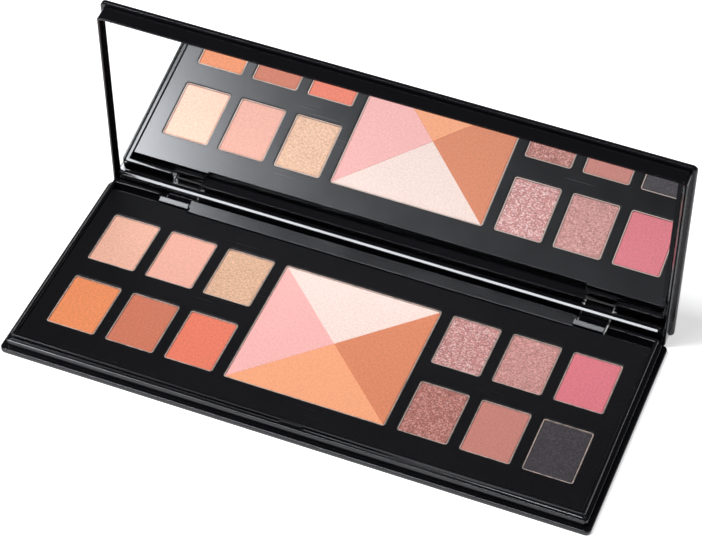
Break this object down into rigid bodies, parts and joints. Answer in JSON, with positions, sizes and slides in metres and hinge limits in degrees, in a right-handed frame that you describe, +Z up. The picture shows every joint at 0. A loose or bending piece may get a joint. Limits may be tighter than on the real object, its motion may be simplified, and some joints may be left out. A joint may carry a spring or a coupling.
{
  "type": "eyeshadow palette",
  "caption": "Flat hinged make-up palette standing open: a black case with small powder pans around a square face pan, and a bevelled mirror in the lid.",
  "frame": {"origin": "middle of the base's outline, on the table", "axes": "+X to the user's right along the case, +Y to the hinge at the back, +Z up"},
  "size_m": [0.216, 0.1016, 0.0908],
  "materials": {
    "case_black": "glossy black moulded plastic",
    "deck_black": "glossy black moulded plastic insert",
    "pin_steel": "plain drawn steel wire",
    "adhesive": "soft set glue",
    "pan_metal": "thin pressed metal with a dull shine",
    "mirror_glass": "silvered glass with a ground bevel",
    "mirror_tape": "double-sided tape",
    "powder_left_back_1": "pressed cosmetic powder",
    "powder_left_back_2": "pressed cosmetic powder",
    "powder_left_back_3": "pressed cosmetic powder",
    "powder_left_front_1": "pressed cosmetic powder",
    "powder_left_front_2": "pressed cosmetic powder",
    "powder_left_front_3": "pressed cosmetic powder",
    "powder_right_back_1": "pressed cosmetic powder",
    "powder_right_back_2": "pressed cosmetic powder",
    "powder_right_back_3": "pressed cosmetic powder",
    "powder_right_front_1": "pressed cosmetic powder",
    "powder_right_front_2": "pressed cosmetic powder",
    "powder_right_front_3": "pressed cosmetic powder",
    "powder_face_front": "pressed cosmetic powder",
    "powder_face_right": "pressed cosmetic powder",
    "powder_face_back": "pressed cosmetic powder",
    "powder_face_left": "pressed cosmetic powder"
  },
  "bodies": {
    "base": {"base_cover": "case_black", "base_frame": "case_black", "tray_deck": "deck_black", "hinge_pins": "pin_steel", "pan_adhesive": "adhesive", "shadow_pan_left_back_1": "pan_metal", "shadow_powder_left_back_1": "powder_left_back_1", "shadow_pan_left_back_2": "pan_metal", "shadow_powder_left_back_2": "powder_left_back_2", "shadow_pan_left_back_3": "pan_metal", "shadow_powder_left_back_3": "powder_left_back_3", "shadow_pan_left_front_1": "pan_metal", "shadow_powder_left_front_1": "powder_left_front_1", "shadow_pan_left_front_2": "pan_metal", "shadow_powder_left_front_2": "powder_left_front_2", "shadow_pan_left_front_3": "pan_metal", "shadow_powder_left_front_3": "powder_left_front_3", "shadow_pan_right_back_1": "pan_metal", "shadow_powder_right_back_1": "powder_right_back_1", "shadow_pan_right_back_2": "pan_metal", "shadow_powder_right_back_2": "powder_right_back_2", "shadow_pan_right_back_3": "pan_metal", "shadow_powder_right_back_3": "powder_right_back_3", "shadow_pan_right_front_1": "pan_metal", "shadow_powder_right_front_1": "powder_right_front_1", "shadow_pan_right_front_2": "pan_metal", "shadow_powder_right_front_2": "powder_right_front_2", "shadow_pan_right_front_3": "pan_metal", "shadow_powder_right_front_3": "powder_right_front_3", "face_pan": "pan_metal", "face_powder_front": "powder_face_front", "face_powder_right": "powder_face_right", "face_powder_back": "powder_face_back", "face_powder_left": "powder_face_left"},
    "lid": {"lid_frame": "case_black", "lid_cover": "case_black", "mirror": "mirror_glass", "mirror_tape": "mirror_tape"}
  },
  "joints": [
    {"name": "lid_hinge", "type": "hinge", "parent": "base", "child": "lid", "pos_m": [0, 0.04355, 0.00125], "axis": [-1, 0, 0], "range_deg": [-82.9, 1.5]}
  ]
}
